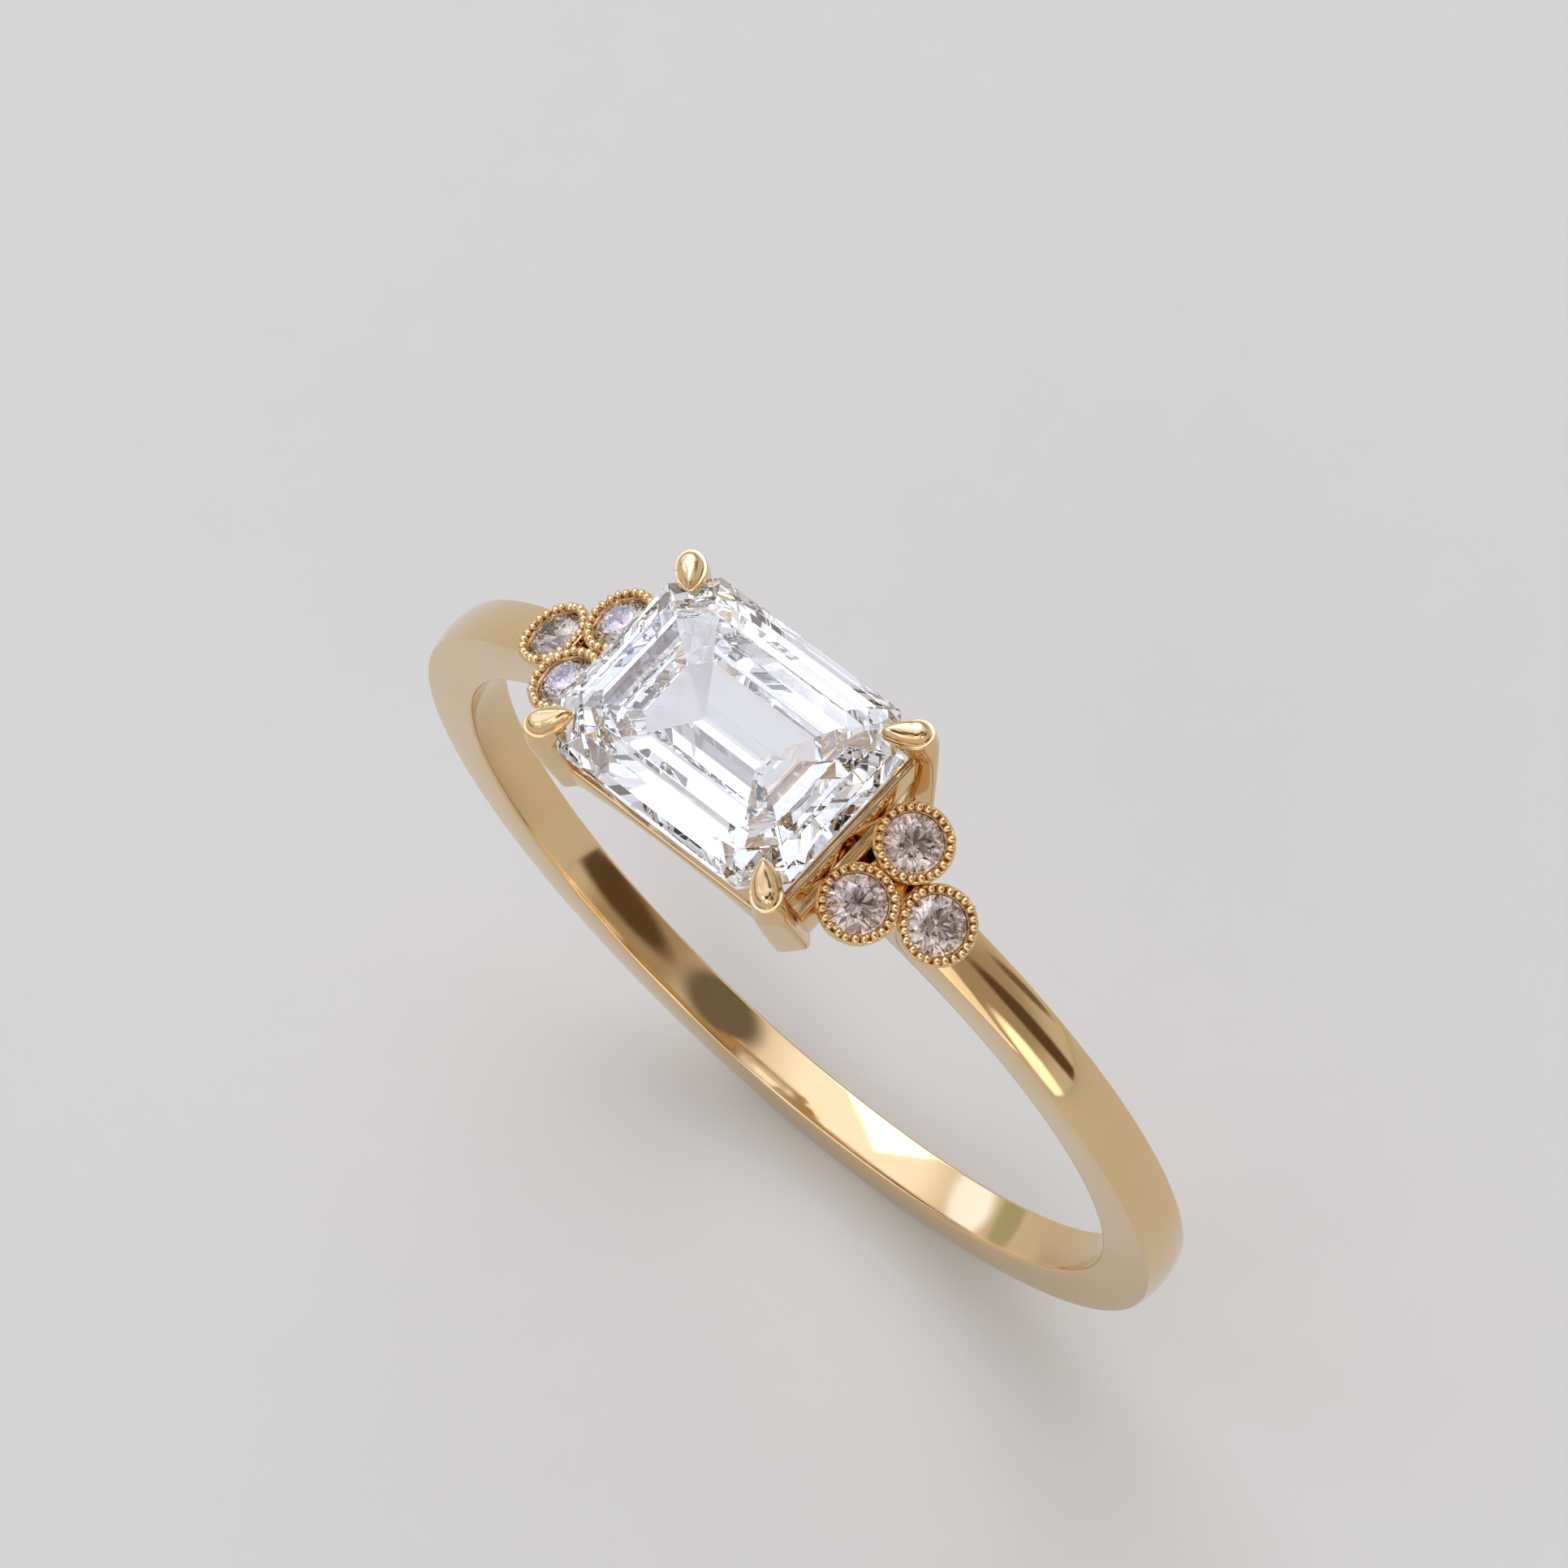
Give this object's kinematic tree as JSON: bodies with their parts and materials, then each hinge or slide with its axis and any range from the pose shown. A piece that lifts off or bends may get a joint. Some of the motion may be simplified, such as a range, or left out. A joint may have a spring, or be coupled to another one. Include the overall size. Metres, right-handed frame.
{
  "type": "engagement ring",
  "caption": "Slim band ring with a rectangular step-cut stone set crosswise in corner claws, beside clusters of small round stones in beaded cups.",
  "frame": {"origin": "centre of the finger hole, midway across the band's width", "axes": "+Y along the finger, +X along the band at the head, +Z from the finger's centre up to the centre stone's table"},
  "size_m": [0.019, 0.005, 0.0202],
  "materials": {
    "gold": "polished yellow gold",
    "centre_stone": "polished colourless gemstone",
    "accent_stones": "polished pale champagne gemstone"
  },
  "bodies": {
    "root": {"accent_stone_left_back": "accent_stones", "accent_stone_left_front": "accent_stones", "accent_stone_left_outer": "accent_stones", "accent_stone_right_back": "accent_stones", "accent_stone_right_front": "accent_stones", "accent_stone_right_outer": "accent_stones", "basket_end_bar_left": "gold", "basket_end_bar_right": "gold", "basket_side_bar_back": "gold", "basket_side_bar_front": "gold", "bezel_left_back": "gold", "bezel_left_front": "gold", "bezel_left_outer": "gold", "bezel_right_back": "gold", "bezel_right_front": "gold", "bezel_right_outer": "gold", "centre_stone": "centre_stone", "claw_left_back": "gold", "claw_left_front": "gold", "claw_right_back": "gold", "claw_right_front": "gold", "head_plate_left": "gold", "head_plate_right": "gold", "shank": "gold", "shoulder_bridge_left": "gold", "shoulder_bridge_right": "gold"}
  },
  "joints": []
}
